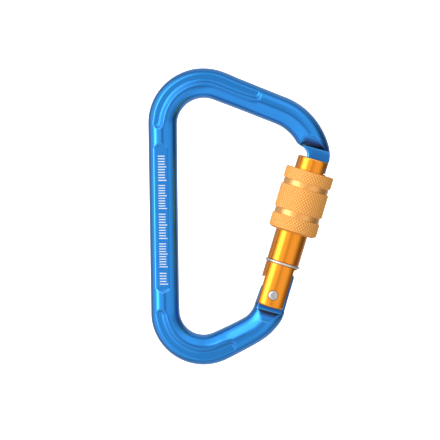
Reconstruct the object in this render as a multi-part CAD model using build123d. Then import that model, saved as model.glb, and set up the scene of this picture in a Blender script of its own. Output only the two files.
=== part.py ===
"""Screw-lock carabiner, asymmetric D, forged aluminium bar with a round hinged gate.

Object frame, millimetres: +Z up along the load axis, +X from the spine towards the gate,
+Y away from the viewer. The origin is the middle of the load line, halfway between the
centres of the two rope-seat bends, on the mid-plane.

Gate frame: the hinge rivet's axis is the origin, s runs up the gate towards the nose and t
runs outwards, away from the eye. Everything on the gate, and both milled ends of the bar,
is drawn in (t, y, s) and then leaned over.

Pieces: frame_body, gate, lock_sleeve, stop_ring, hinge_rivet, spring_plunger, gate_spring.
"""
from build123d import *
import math
import os

os.makedirs("parts", exist_ok=True)

# ---------------------------------------------------------------- gate frame
HINGE = (25.0, -27.5)          # rivet axis in X, Z
GATE_LEAN = 16.78              # the gate leans this far from +Z towards +X, degrees
LEAN = math.radians(GATE_LEAN)
PLACE = Location((HINGE[0], 0, HINGE[1]), (0, GATE_LEAN, 0))
CLEAR = 9                      # cutting tools reach this far from the axes, past the metal

# ---------------------------------------------------------------- bar centreline (in X, Z)
TOP_BEND = ((0.05, 33.9), 14.65)       # top rope seat: centre, radius
LOW_BEND = ((0.0, -33.9), 13.6)        # bottom rope seat
NOSE_BEND = ((20.15, 19.5), 20.57)     # the bend that carries the nose
HEEL_BEND_R = 12.5                     # bend between the bottom bar and the hinge tang
LOW_BAR_ANGLE = math.radians(26.74)    # rise of the bottom bar above the X axis
TANG_T, TANG_END_S = 0.30, 9.6         # the tang's centreline in t, and its upper end

# ---------------------------------------------------------------- bar section
# u across, outwards +; y through
BAR_HALF_WIDTH = 5.05
BAR_CREST = 5.25               # half depth on the forging's crest line
OUTER_PTS = ((1.5, 5.04), (3.4, 4.05), (BAR_HALF_WIDTH, 1.85))  # roof facet, shoulder, side
INNER_FACET = (-3.3, 4.20)
INNER_SIDE = 2.2
CREST_ROUND, CORNER_ROUND = 1.0, 1.9
LOW_SWELL, SPINE_SWELL, TOP_SWELL, NOSE_SWELL = 0.50, 0.08, 0.58, 0.38
SPINE_LOW_TAPER, SPINE_TOP_TAPER = 8.0, 16.0   # lengths of spine over which the section changes
RAMP_Y = BAR_CREST + 0.05      # where the milled ramps run out of the bar
OUTSIDE_Y = BAR_CREST + 1.0

# ---------------------------------------------------------------- hinge tang of the bar
TANG_HALF = 3.15
TANG_HOLE_R = 1.65
LEDGE_S, RAMP_S = -5.95, -9.5  # foot and head of the ramp between flats and full bar
TANG_TOOL_TOP = 14
TANG_OUTER_T, TANG_OUTER_S = 5.72, -4.0    # outer side of the tang is flat above this s
SEAT_S = 2.30                  # flat on the tang that the plunger presses on
# top profile of the tang, (t, s), from the inner side outwards
TANG_CUT = [
    (-CLEAR, TANG_TOOL_TOP), (-CLEAR, SEAT_S - 1.3), (-5.3, SEAT_S - 1.3),
    (-5.3, SEAT_S - 0.5), (-4.75, SEAT_S), (-0.72, SEAT_S), (-0.62, 4.7), (3.3, 8.5),
    (4.7, 8.75), (5.35, 8.45), (5.75, 7.7), (CLEAR, 7.7), (CLEAR, TANG_TOOL_TOP),
]

# ---------------------------------------------------------------- nose tongue of the bar
TONGUE_HALF = 2.50             # neck of the tongue, seen above the gate
HEAD_HALF, HEAD_S = 3.20, 48.7 # keyhole head, inside the gate, and the height of its shoulders
TIP_REACH = 46.85              # radius of the tip about the hinge rivet
NOSE_LEDGE_S, NOSE_RAMP_S = 54.5, 58.4
NOSE_TOOL_LOW = 30.0
# inner side of the neck, (t, s), from the top down
NECK_CUT = [
    (-12, 53.85), (-6.4, 53.85), (-5.2, 53.65), (-4.35, 53.25), (-3.6, 52.6), (-3.0, 51.9),
    (-2.75, 51.2), (-2.70, 50.4), (-2.70, 34), (-12, 34),
]
TONGUE_R, SHOULDER_S = 5.50, 51.3  # the tongue is turned to this radius below the shoulder
SHOULDER_R = 14.8              # curve of the nose's outer edge above the shoulder

# ---------------------------------------------------------------- forged details
PANEL_X, PANEL_Z, PANEL_Y = (-19.4, -8.8), (-25.85, 25.95), 4.36   # marking flats
PANEL_TOOL_Y = 7
POCKET_U = 2.2                 # the pocket's line, outwards of the bar's centreline
POCKET_HALF, POCKET_EXTRA = 1.15, 0.5      # half width of the floor; extra on the outer side
POCKET_FLOOR, POCKET_TOP, POCKET_FLARE = 4.0, 6.2, 1.6
TOP_POCKET_RUN, LOW_POCKET_RUN = 14.5, 5.0     # straight runs past the bends

# ---------------------------------------------------------------- gate
GATE_R = 5.84
GATE_LOW, GATE_TOP = -4.5, 50.8
GATE_TOP_ROUND, GATE_LOW_ROUND = 0.45, 1.0
HEEL_SLOT_HALF = 3.30          # slot that straddles the tang
HEEL_ROOF_IN, HEEL_ROOF_OUT = (-5.4, 5.4), (5.8, 10.95)    # two points (t, s) of its sloping roof
HEEL_TOOL = 8
NOSE_SLOT_HALF = 2.65          # slot that takes the nose tongue
NOSE_SLOT_FLOOR = -2.80
NOSE_SLOT_END = 46.35
KEYHOLE_GAP = 0.15             # clearance round the tongue's head
BORE_T, BORE_R, BORE_END = -2.5, 1.80, 28.0
RING_GROOVE_S, RING_GROOVE_R, RING_GROOVE_W = 11.75, 5.25, 1.04

# ---------------------------------------------------------------- lock thread, right-hand
PITCH = 2.0
THREAD_LOW, THREAD_HIGH = 23.6, 36.6
THREAD_OVERRUN = 1.2           # the gate's ridge is swept this far past both ends, then trimmed
THREAD_START = THREAD_LOW - THREAD_OVERRUN
THREAD_CREST_R = 6.40
THREAD_SINK = 0.16             # how deep a ridge's root is buried in its parent
RIDGE_ROOT_W, RIDGE_CREST_W = 1.35, 0.5

# ---------------------------------------------------------------- sleeve
SLEEVE_LOW, SLEEVE_HIGH = 23.3, 46.0
SLEEVE_R = 8.80
SLEEVE_LOW_CHAMFER, SLEEVE_TOP_CHAMFER = 1.1, 0.35
SLEEVE_GROOVE_R = 8.27
SLEEVE_GROOVES = ((28.65, 30.85), (39.35, 41.55))  # lower and upper s of each groove
SLEEVE_BORE_R = 6.75
SLEEVE_MINOR_R, SLEEVE_MAJOR_R = 5.90, 6.62
SLEEVE_THREAD_END = 37.3
SLEEVE_OVERRUN = 1.4

# ---------------------------------------------------------------- small steel parts
RIVET_R, RIVET_HEAD_R = 1.60, 1.76
RIVET_HALF = 5.4
RIVET_HEAD_Y = (5.23, 5.63)
DOME_BASE, DOME_RISE = 5.62, 0.42
RIVET_GAP, HEAD_GAP, HEAD_RECESS_Y = 0.01, 0.04, 5.2   # clearances in the gate, recess floor
WIRE_R, RING_R = 0.45, 5.98    # stop ring: wire radius and centre-line radius
RING_GAP_DEG = 14
PLUNGER_R, PLUNGER_TIP_S, PLUNGER_TOP = 1.70, 2.32, 11.6
PEG_R, PEG_LENGTH, PEG_SINK = 0.95, 3.0, 0.2   # peg on the plunger, inside the spring
SPRING_WIRE_R, SPRING_R, SPRING_TURNS = 0.27, 1.35, 15
SPRING_END_GAP = 0.03


# ================================================================ solids
def polygon(points):
    """Flat face with straight sides through 3D points."""
    return Face(Wire.make_polygon([Vector(*p) for p in points], close=True))


def prism(points, y0, y1):
    """Closed polygon in (t, s), swept through y0..y1."""
    return Solid.extrude(polygon([(t, y0, s) for t, s in points]), Vector(0, y1 - y0, 0))


def cross_prism(points, t0, width):
    """Closed polygon in (y, s), swept outwards from t0."""
    return Solid.extrude(polygon([(t0, y, s) for y, s in points]), Vector(width, 0, 0))


def cyl(radius, s0, s1, t=0.0):
    return Pos(t, 0, (s0 + s1) / 2) * Cylinder(radius, s1 - s0)


def ycyl(radius, y0, y1):
    """Cylinder on the rivet's axis."""
    return Pos(0, (y0 + y1) / 2, 0) * (Rot(90, 0, 0) * Cylinder(radius, y1 - y0))


def box(x0, x1, y0, y1, z0, z1):
    return Pos((x0 + x1) / 2, (y0 + y1) / 2, (z0 + z1) / 2) * Box(x1 - x0, y1 - y0, z1 - z0)


def y_span(side, near, far):
    """The y range near..far on one side of the mid-plane, lower value first."""
    return sorted((side * near, side * far))


# ================================================================ centreline geometry in (X, Z)
def polar(centre, radius, angle):
    return (centre[0] + radius * math.cos(angle), centre[1] + radius * math.sin(angle))


def cross(p, q):
    return p[0] * q[1] - p[1] * q[0]


def between(p, q, distance):
    """The point at a distance from p towards q."""
    part = distance / math.dist(p, q)
    return (p[0] + (q[0] - p[0]) * part, p[1] + (q[1] - p[1]) * part)


def tangent_line(bend_a, bend_b, side):
    """Tangent points on two bends that curve the same way, and the angle of their normal."""
    (centre_a, radius_a), (centre_b, radius_b) = bend_a, bend_b
    base = math.atan2(centre_b[1] - centre_a[1], centre_b[0] - centre_a[0])
    normal = base + side * math.acos((radius_a - radius_b) / math.dist(centre_a, centre_b))
    return polar(*bend_a, normal), polar(*bend_b, normal), normal


def gate_to_xz(t, s):
    """A gate-frame point in X, Z."""
    return polar(polar(HINGE, t, -LEAN), s, math.pi / 2 - LEAN)


spine_top, spine_low, spine_normal = tangent_line(TOP_BEND, LOW_BEND, -1)
top_bar_start, top_bar_end, top_bar_normal = tangent_line(TOP_BEND, NOSE_BEND, 1)

# the bottom bar leaves the low bend tangentially
low_bar_normal = LOW_BAR_ANGLE - math.pi / 2
low_bar_start = polar(*LOW_BEND, low_bar_normal)

# the heel bend rounds the corner where the bottom bar's line meets the tang's line
up_angle = math.pi / 2 - LEAN
low_bar_dir = polar((0, 0), 1, LOW_BAR_ANGLE)
up_dir = polar((0, 0), 1, up_angle)
tang_base = gate_to_xz(TANG_T, 0)
to_tang = (tang_base[0] - low_bar_start[0], tang_base[1] - low_bar_start[1])
corner = polar(low_bar_start, cross(to_tang, up_dir) / cross(low_bar_dir, up_dir), LOW_BAR_ANGLE)
corner_length = HEEL_BEND_R * math.tan((up_angle - LOW_BAR_ANGLE) / 2)
heel_low = polar(corner, -corner_length, LOW_BAR_ANGLE)
heel_top = polar(corner, corner_length, up_angle)
HEEL_BEND = (polar(heel_low, -HEEL_BEND_R, low_bar_normal), HEEL_BEND_R)

# polar angles where each bend starts and ends, walking clockwise from tang to nose
HEEL_ARC = (-LEAN, low_bar_normal)
LOW_ARC = (low_bar_normal, spine_normal)
TOP_ARC = (spine_normal + 2 * math.pi, top_bar_normal)
NOSE_ARC = (top_bar_normal, -LEAN)     # runs on until it is parallel to the gate


# ================================================================ bar pieces
def stand(face, point, normal):
    """A (u, y) face stood across the bar at a point, u along the normal."""
    plane = Plane(
        origin=(point[0], 0, point[1]),
        x_dir=(normal[0], 0, normal[1]),
        z_dir=(-normal[1], 0, normal[0]),
    )
    return plane.location * face


def left_normal(p, q):
    """Outwards is on the left of the clockwise walk round the bar."""
    length = math.dist(p, q)
    return (-(q[1] - p[1]) / length, (q[0] - p[0]) / length)


def straight(face, p, q):
    """Extrude a section from p to q."""
    return Solid.extrude(stand(face, p, left_normal(p, q)), Vector(q[0] - p[0], 0, q[1] - p[1]))


def taper(face_a, face_b, p, q):
    """Straight run whose section changes from one face to another."""
    normal = left_normal(p, q)
    wires = [stand(face_a, p, normal).outer_wire(), stand(face_b, q, normal).outer_wire()]
    return Solid.make_loft(wires, True)


def bend(face, centre_radius, arc):
    """Revolve a section about a bend's centre, clockwise along the arc."""
    centre, radius = centre_radius
    start, end = arc
    section = stand(face, polar(centre, radius, start), (math.cos(start), math.sin(start)))
    axis = Axis((centre[0], 0, centre[1]), (0, 1, 0))
    return Solid.revolve(section, math.degrees(start - end), axis)


def section_face(swell):
    """Bar section; swell is how far the inner side stands out past the nominal half width."""
    scale = (BAR_HALF_WIDTH + swell) / BAR_HALF_WIDTH
    outer = [(0, BAR_CREST), *OUTER_PTS]
    inner = [(-BAR_HALF_WIDTH * scale, INNER_SIDE), (INNER_FACET[0] * scale, INNER_FACET[1])]
    points = outer + [(u, -y) for u, y in reversed(outer)]
    points += [(u, -y) for u, y in reversed(inner)] + inner
    face = polygon([(u, y, 0) for u, y in points])
    face = face.fillet_2d(CREST_ROUND, [v for v in face.vertices() if abs(v.X) < 0.01])
    # the original corners other than the two crests
    corners = [p for p in points if p[0]]
    return face.fillet_2d(
        CORNER_ROUND,
        [v for v in face.vertices() if min(math.dist((v.X, v.Y), p) for p in corners) < 1e-4],
    )


# ================================================================ frame_body
def make_bar():
    """The plain bar. It swells inwards at the bends and is slimmest along the spine."""
    low_face, spine_face, top_face, nose_face = (
        section_face(swell) for swell in (LOW_SWELL, SPINE_SWELL, TOP_SWELL, NOSE_SWELL)
    )
    spine_a = between(spine_low, spine_top, SPINE_LOW_TAPER)
    spine_b = between(spine_top, spine_low, SPINE_TOP_TAPER)
    bar = straight(low_face, gate_to_xz(TANG_T, TANG_END_S), heel_top)
    for piece in (
        bend(low_face, HEEL_BEND, HEEL_ARC),
        straight(low_face, heel_low, low_bar_start),
        bend(low_face, LOW_BEND, LOW_ARC),
        taper(low_face, spine_face, spine_low, spine_a),
        straight(spine_face, spine_a, spine_b),
        taper(spine_face, top_face, spine_b, spine_top),
        bend(top_face, TOP_BEND, TOP_ARC),
        taper(top_face, nose_face, top_bar_start, top_bar_end),
        bend(nose_face, NOSE_BEND, NOSE_ARC),
    ):
        bar = bar + piece
    return bar


def mill_hinge_end(bar):
    """Flats either side of the tang with a ramp up to the full bar, top profile, rivet hole."""
    flat = [
        (TANG_HALF, 12.0), (TANG_HALF, LEDGE_S), (RAMP_Y, RAMP_S),
        (OUTSIDE_Y, RAMP_S), (OUTSIDE_Y, 12.0),
    ]
    for side in (1, -1):
        bar = bar - PLACE * cross_prism([(side * y, s) for y, s in flat], -CLEAR, 2 * CLEAR)
    bar = bar - PLACE * prism(TANG_CUT, -CLEAR, CLEAR)
    bar = bar - PLACE * box(TANG_OUTER_T, CLEAR, -CLEAR, CLEAR, TANG_OUTER_S, TANG_TOOL_TOP)
    return bar - PLACE * ycyl(TANG_HOLE_R, -CLEAR, CLEAR)


def mill_nose_end(bar):
    """Flats with a ramp up to the full bar, neck, and a keyhole head wider than the neck."""
    flat = [
        (HEAD_HALF, NOSE_TOOL_LOW), (HEAD_HALF, HEAD_S - 0.8), (TONGUE_HALF, HEAD_S),
        (TONGUE_HALF, NOSE_LEDGE_S), (RAMP_Y, NOSE_RAMP_S), (OUTSIDE_Y, NOSE_RAMP_S),
        (OUTSIDE_Y, NOSE_TOOL_LOW),
    ]
    for side in (1, -1):
        bar = bar - PLACE * cross_prism([(side * y, s) for y, s in flat], -9.5, 19.5)
    bar = bar - PLACE * prism(NECK_CUT, -CLEAR, CLEAR)
    # the tip is an arc about the hinge, so that the gate can swing away under it
    tip_tool = ycyl(TIP_REACH, -CLEAR, CLEAR) & box(-12, 12, -CLEAR, CLEAR, 32, 52)
    bar = bar - PLACE * tip_tool
    bar = bar - PLACE * (cyl(12, 33, SHOULDER_S) - cyl(TONGUE_R, 32, 52))
    # the outer edge of the nose turns in faster than the bar's bend
    centre = (TONGUE_R - SHOULDER_R, SHOULDER_S)
    shoulder = [polar(centre, SHOULDER_R, math.radians(angle)) for angle in range(0, 41, 4)]
    shoulder += [(12, shoulder[-1][1] + 3), (12, SHOULDER_S)]
    return bar - PLACE * prism(shoulder, -CLEAR, CLEAR)


def pocket(centre_radius, arc, run, side, at_start=False):
    """A shallow round-ended groove along a bend, with a straight run before or after it."""
    centre, radius = centre_radius
    path = (centre, radius + POCKET_U)
    start, end = arc
    y_floor, y_top = POCKET_FLOOR * side, POCKET_TOP * side
    outer = POCKET_HALF + POCKET_EXTRA
    face = polygon([
        (-POCKET_HALF, y_floor, 0), (outer, y_floor, 0),
        (outer + POCKET_FLARE, y_top, 0), (-POCKET_HALF - POCKET_FLARE, y_top, 0),
    ])
    tool = bend(face, path, arc)
    first, last = polar(*path, start), polar(*path, end)
    if at_start:
        run_end = polar(first, run, start + math.pi / 2)
        tool = straight(face, run_end, first) + tool
        ends = (run_end, last)
    else:
        run_end = polar(last, run, end - math.pi / 2)
        tool = tool + straight(face, last, run_end)
        ends = (first, run_end)
    for x, z in ends:
        cone = Cone(POCKET_HALF, POCKET_HALF + POCKET_FLARE, POCKET_TOP - POCKET_FLOOR)
        tool = tool + Pos(x, (y_floor + y_top) / 2, z) * (Rot(-90 * side, 0, 0) * cone)
    return tool


def make_frame_body():
    bar = mill_nose_end(mill_hinge_end(make_bar()))
    for side in (1, -1):
        bar = bar - box(*PANEL_X, *y_span(side, PANEL_Y, PANEL_TOOL_Y), *PANEL_Z)
    for side in (1, -1):
        bar = bar - pocket(TOP_BEND, TOP_ARC, TOP_POCKET_RUN, side)
        bar = bar - pocket(LOW_BEND, LOW_ARC, LOW_POCKET_RUN, side, at_start=True)
    return bar


# ================================================================ gate and sleeve
def helix_ridge(root_r, crest_r, s0, length):
    """One right-hand ridge, trapezoid in section."""
    path = Helix(pitch=PITCH, height=length, radius=(root_r + crest_r) / 2, center=(0, 0, s0))
    root, crest = RIDGE_ROOT_W / 2, RIDGE_CREST_W / 2
    points = [(root_r, -root), (crest_r, -crest), (crest_r, crest), (root_r, root)]
    if root_r > crest_r:
        points.reverse()
    return sweep(polygon([(r, 0, s0 + z) for r, z in points]), path=path, is_frenet=True)


def make_gate():
    gate = cyl(GATE_R, GATE_LOW, GATE_TOP)
    gate = fillet(gate.edges().group_by(Axis.Z)[-1], GATE_TOP_ROUND)
    gate = fillet(gate.edges().group_by(Axis.Z)[0], GATE_LOW_ROUND)
    ridge_length = THREAD_HIGH - THREAD_LOW + 2 * THREAD_OVERRUN
    ridge = helix_ridge(GATE_R - THREAD_SINK, THREAD_CREST_R, THREAD_START, ridge_length)
    gate = gate + (ridge & cyl(CLEAR, THREAD_LOW, THREAD_HIGH))

    # heel slot with a roof that rises outwards
    (in_t, in_s), (out_t, out_s) = HEEL_ROOF_IN, HEEL_ROOF_OUT
    slope = (out_s - in_s) / (out_t - in_t)
    heel = [(-HEEL_TOOL, -HEEL_TOOL), (HEEL_TOOL, -HEEL_TOOL)]
    heel += [(t, in_s + slope * (t - in_t)) for t in (HEEL_TOOL, -HEEL_TOOL)]
    gate = gate - prism(heel, -HEEL_SLOT_HALF, HEEL_SLOT_HALF)

    # keyhole slot for the nose tongue, open outwards and at the top
    head = HEAD_HALF + KEYHOLE_GAP
    neck_s = HEAD_S + KEYHOLE_GAP
    head_s = neck_s - 0.8
    keyhole = [
        (-NOSE_SLOT_HALF, 60), (-NOSE_SLOT_HALF, neck_s), (-head, head_s),
        (-head, NOSE_SLOT_END), (head, NOSE_SLOT_END), (head, head_s),
        (NOSE_SLOT_HALF, neck_s), (NOSE_SLOT_HALF, 60),
    ]
    gate = gate - cross_prism(keyhole, NOSE_SLOT_FLOOR, 20)

    # spring bore, ring groove, rivet hole and the recesses for its heads
    gate = gate - cyl(BORE_R, 0, BORE_END, t=BORE_T)
    groove_low = RING_GROOVE_S - RING_GROOVE_W / 2
    gate = gate - (cyl(8, groove_low, groove_low + RING_GROOVE_W) - cyl(RING_GROOVE_R, 5, 20))
    gate = gate - ycyl(RIVET_R + RIVET_GAP, -CLEAR, CLEAR)
    for side in (1, -1):
        gate = gate - ycyl(RIVET_HEAD_R + HEAD_GAP, *y_span(side, HEAD_RECESS_Y, CLEAR))
    return gate


def make_lock_sleeve():
    sleeve = cyl(SLEEVE_R, SLEEVE_LOW, SLEEVE_HIGH)
    sleeve = chamfer(sleeve.edges().group_by(Axis.Z)[0], SLEEVE_LOW_CHAMFER)
    sleeve = chamfer(sleeve.edges().group_by(Axis.Z)[-1], SLEEVE_TOP_CHAMFER)
    for low, high in SLEEVE_GROOVES:
        sleeve = sleeve - (cyl(12, low, high) - cyl(SLEEVE_GROOVE_R, 0, 60))
    sleeve = sleeve - cyl(SLEEVE_BORE_R, SLEEVE_THREAD_END, SLEEVE_HIGH + 1)
    # the ridge sits half a pitch from the gate's and is left standing when the bore is cut
    start = THREAD_START + PITCH / 2
    length = SLEEVE_THREAD_END - start + SLEEVE_OVERRUN
    ridge = helix_ridge(SLEEVE_MAJOR_R + THREAD_SINK, SLEEVE_MINOR_R, start, length)
    ridge = ridge & cyl(CLEAR, SLEEVE_LOW, SLEEVE_THREAD_END)
    return sleeve - (cyl(SLEEVE_MAJOR_R, SLEEVE_LOW, SLEEVE_THREAD_END) - ridge)


# ================================================================ small steel parts
def make_stop_ring():
    """Round-wire snap ring with a gap at the back (+Y)."""
    ring = Pos(0, 0, RING_GROOVE_S) * Torus(RING_R, WIRE_R)
    half_gap = math.radians(RING_GAP_DEG / 2)
    x, y = CLEAR * math.sin(half_gap), CLEAR * math.cos(half_gap)
    low = RING_GROOVE_S - 1
    wedge = polygon([(0, 0, low), (-x, y, low), (x, y, low)])
    return ring - Solid.extrude(wedge, Vector(0, 0, 2))


def make_hinge_rivet():
    rivet = ycyl(RIVET_R, -RIVET_HALF, RIVET_HALF)
    dome_r = (RIVET_HEAD_R ** 2 + DOME_RISE ** 2) / (2 * DOME_RISE)
    for side in (1, -1):
        outwards = Rot(-90 * side, 0, 0)
        ball = Pos(0, 0, DOME_BASE + DOME_RISE - dome_r) * Sphere(dome_r)
        dome = outwards * (ball & cyl(RIVET_HEAD_R, DOME_BASE, DOME_BASE + 2.0))
        rivet = rivet + outwards * cyl(RIVET_HEAD_R, *RIVET_HEAD_Y) + dome
    return rivet


def make_spring_plunger():
    ball_s = PLUNGER_TIP_S + PLUNGER_R
    body = cyl(PLUNGER_R, ball_s, PLUNGER_TOP, t=BORE_T)
    plunger = body + Pos(BORE_T, 0, ball_s) * Sphere(PLUNGER_R)
    return plunger + cyl(PEG_R, PLUNGER_TOP - PEG_SINK, PLUNGER_TOP + PEG_LENGTH, t=BORE_T)


def make_gate_spring():
    """Coil between the plunger's top and the end of the bore."""
    low = PLUNGER_TOP + SPRING_WIRE_R + SPRING_END_GAP
    height = BORE_END - SPRING_WIRE_R - SPRING_END_GAP - low
    path = Helix(
        pitch=height / SPRING_TURNS, height=height, radius=SPRING_R, center=(BORE_T, 0, low)
    )
    circle = Edge.make_circle(SPRING_WIRE_R, Plane(origin=path @ 0, z_dir=path % 0))
    return sweep(Face(Wire(circle)), path=path, is_frenet=True)


# ================================================================ write
for name, shape in {
    "frame_body": make_frame_body(),
    "gate": PLACE * make_gate(),
    "lock_sleeve": PLACE * make_lock_sleeve(),
    "stop_ring": PLACE * make_stop_ring(),
    "hinge_rivet": PLACE * make_hinge_rivet(),
    "spring_plunger": PLACE * make_spring_plunger(),
    "gate_spring": PLACE * make_gate_spring(),
}.items():
    solids = shape.solids()
    if len(solids) > 1:
        piece = Compound(children=[Solid(solid.wrapped) for solid in solids])
    else:
        piece = solids[0]
    export_step(piece, f"parts/{name}.step")
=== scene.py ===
# A screw-gate carabiner: forged frame, hinged gate, knurled lock sleeve and small steel parts.
# It stands upright in the XZ plane, its thickness along Y and its front facing -Y. The spine is on
# the left (-X), the gate on the right (+X), leaning right towards its top. Geometry is in mm.
import bmesh
import bpy
import math
import numpy as np
import openvdb
from functools import cached_property
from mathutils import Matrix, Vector


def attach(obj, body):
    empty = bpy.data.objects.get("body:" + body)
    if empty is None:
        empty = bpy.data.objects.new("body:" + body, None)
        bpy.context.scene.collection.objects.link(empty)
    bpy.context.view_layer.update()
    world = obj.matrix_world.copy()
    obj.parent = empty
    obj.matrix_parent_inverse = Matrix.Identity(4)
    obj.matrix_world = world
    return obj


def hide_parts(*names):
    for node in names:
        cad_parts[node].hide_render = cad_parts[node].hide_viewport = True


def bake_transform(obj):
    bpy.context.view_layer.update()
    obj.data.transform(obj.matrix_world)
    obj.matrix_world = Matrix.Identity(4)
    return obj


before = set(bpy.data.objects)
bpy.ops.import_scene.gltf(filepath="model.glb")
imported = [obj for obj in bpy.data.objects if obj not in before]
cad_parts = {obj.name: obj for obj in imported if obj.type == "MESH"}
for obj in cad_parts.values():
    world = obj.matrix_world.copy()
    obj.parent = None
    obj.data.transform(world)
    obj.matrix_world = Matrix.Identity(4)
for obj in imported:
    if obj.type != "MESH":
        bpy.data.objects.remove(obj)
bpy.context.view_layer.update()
MM = 0.001
COARSE = 1.0

# Gate frame: side (across the gate, away from the spine) and rise (up the gate), from the hinge
HINGE = (25.0, -27.5)
LEAN = math.radians(16.78)
COS_LEAN, SIN_LEAN = math.cos(LEAN), math.sin(LEAN)

# Bends of the bar's centreline: centre (x, z) and radius
TOP_C, TOP_R = (0.05, 33.9), 14.65
LOW_C, LOW_R = (0.0, -33.9), 13.6
NOSE_C, NOSE_R = (20.15, 19.5), 20.57
HEEL_R = 12.5
LOW_BAR_SLOPE = math.radians(26.74)
HEEL_SIDE, HEEL_RISE = 0.30, 14     # where the centreline starts, in the gate frame
NOSE_TAIL = 9                       # straight end of the centreline below the nose bend

HALF_WIDTH, HALF_DEPTH = 5.07, 5.25     # bar section before it swells
TANG_HALF, RIVET_HOLE_R = 3.15, 1.65
TONGUE_HALF = 2.5                       # half thickness of the nose tongue
TONGUE_ROOT_HALF, TONGUE_FLARE_RISE = 3.2, 48.7
KEY_CLEARANCE = 0.15                    # of the gate's key slot round the tongue

BORE_SIDE, BORE_R, BORE_END = -2.5, 1.8, 28.0
PLUNGER_R, PLUNGER_FOOT, PLUNGER_TOP = 1.7, 2.32, 11.6
STOP_RING_RISE = 11.75
THREAD_PITCH, THREAD_START = 2.0, 22.4

SLEEVE_FOOT, SLEEVE_TOP, SLEEVE_BORE_R = 23.3, 46.0, 6.75
KNURL_LOBES, KNURL_PITCH, KNURL_STEPS = 48, 1.42, 8
KNURL_TIP_R, KNURL_DEPTH = 8.84, 0.30
KNURL_FOOT_R = KNURL_TIP_R - KNURL_DEPTH
KNURL_BANDS = ((24.55, 28.7), (30.9, 39.5), (41.7, 45.78))     # rise from, to
GROOVE_WIDTH = 2.2


# ------------------------------------------------------------------ distance helpers
def to_gate_frame(x, z):
    dx, dz = x - HINGE[0], z - HINGE[1]
    return dx * COS_LEAN - dz * SIN_LEAN, dx * SIN_LEAN + dz * COS_LEAN


def gate_to_world(points):
    side, y, rise = points.T
    return np.stack([HINGE[0] + side * COS_LEAN + rise * SIN_LEAN, y,
                     HINGE[1] - side * SIN_LEAN + rise * COS_LEAN], 1)


def smooth_max(first, second, blend):
    overlap = np.maximum(blend - np.abs(first - second), 0.0) / blend
    return np.maximum(first, second) + overlap * overlap * blend * 0.25


def step(value, start, end):
    """Smooth 0 to 1 as value goes from start to end, in either direction."""
    part = np.clip((value - start) / (end - start), 0.0, 1.0)
    return part * part * (3 - 2 * part)


def peak(value, centre, width):
    return np.exp(-((value - centre) / width) ** 2)


def within(region, tool):
    """A cutting distance that acts only inside a region."""
    return np.where(region, tool, -9.0)


def polygon_distance(x, y, corners):
    """Signed distance to a closed polygon, negative inside."""
    corners = np.array(corners, float)
    nearest = np.full(np.broadcast(x, y).shape, 1e9)
    sign = np.ones_like(nearest)
    for i, here in enumerate(corners):
        before = corners[i - 1]
        edge_x, edge_y = before - here
        dx, dy = x - here[0], y - here[1]
        part = np.clip((dx * edge_x + dy * edge_y) / (edge_x * edge_x + edge_y * edge_y), 0, 1)
        nearest = np.minimum(nearest, (dx - edge_x * part) ** 2 + (dy - edge_y * part) ** 2)
        above, below, left = y >= here[1], y < before[1], edge_x * dy > edge_y * dx
        crosses = (above & below & left) | (~above & ~below & ~left)
        sign = np.where(crosses, -sign, sign)
    return sign * np.sqrt(nearest)


# ------------------------------------------------------------------ centreline of the bar
def on_circle(centre, radius, angle):
    return np.array([centre[0] + radius * math.cos(angle), centre[1] + radius * math.sin(angle)])


def tangent_angle(centre, radius, other, other_radius, turn):
    """Direction from both centres to the points where a shared tangent touches."""
    dx, dz = other[0] - centre[0], other[1] - centre[1]
    return math.atan2(dz, dx) + turn * math.acos((radius - other_radius) / math.hypot(dx, dz))


def trace_centreline():
    """Clockwise from the heel: ("line", from, to) or ("arc", centre, radius, angle from, to)."""
    up = np.array([SIN_LEAN, COS_LEAN])
    spine_angle = tangent_angle(TOP_C, TOP_R, LOW_C, LOW_R, -1)
    top_angle = tangent_angle(TOP_C, TOP_R, NOSE_C, NOSE_R, 1)
    low_angle = LOW_BAR_SLOPE - math.pi / 2

    low_end = on_circle(LOW_C, LOW_R, low_angle)
    slope = np.array([math.cos(LOW_BAR_SLOPE), math.sin(LOW_BAR_SLOPE)])
    leg = np.array([HINGE[0] + HEEL_SIDE * COS_LEAN, HINGE[1] - HEEL_SIDE * SIN_LEAN])
    # the bottom bar and the leg under the gate meet at a corner, which the heel bend rounds off
    gap_x, gap_z = leg - low_end
    reach = (gap_x * -up[1] + up[0] * gap_z) / (slope[0] * -up[1] + up[0] * slope[1])
    corner = low_end + reach * slope
    trim = HEEL_R * math.tan((math.pi / 2 - LEAN - LOW_BAR_SLOPE) / 2)
    heel_low, heel_high = corner - slope * trim, corner + up * trim
    heel_centre = heel_low + HEEL_R * np.array([-slope[1], slope[0]])
    nose_end = on_circle(NOSE_C, NOSE_R, -LEAN)
    return [
        ("line", leg + up * HEEL_RISE, heel_high),
        ("arc", heel_centre, HEEL_R, -LEAN, low_angle),
        ("line", heel_low, low_end),
        ("arc", LOW_C, LOW_R, low_angle, spine_angle),
        ("line", on_circle(LOW_C, LOW_R, spine_angle), on_circle(TOP_C, TOP_R, spine_angle)),
        ("arc", TOP_C, TOP_R, spine_angle + 2 * math.pi, top_angle),
        ("line", on_circle(TOP_C, TOP_R, top_angle), on_circle(NOSE_C, NOSE_R, top_angle)),
        ("arc", NOSE_C, NOSE_R, top_angle, -LEAN),
        ("line", nose_end, nose_end - up * NOSE_TAIL),
    ]


def piece_length(kind, *shape):
    if kind == "line":
        return math.hypot(*(shape[1] - shape[0]))
    _, radius, start, end = shape
    return radius * (start - end)


CENTRELINE = trace_centreline()
JOINTS = [0.0]                  # arc length at each joint of the centreline
for piece in CENTRELINE:
    JOINTS.append(JOINTS[-1] + piece_length(*piece))


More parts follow.
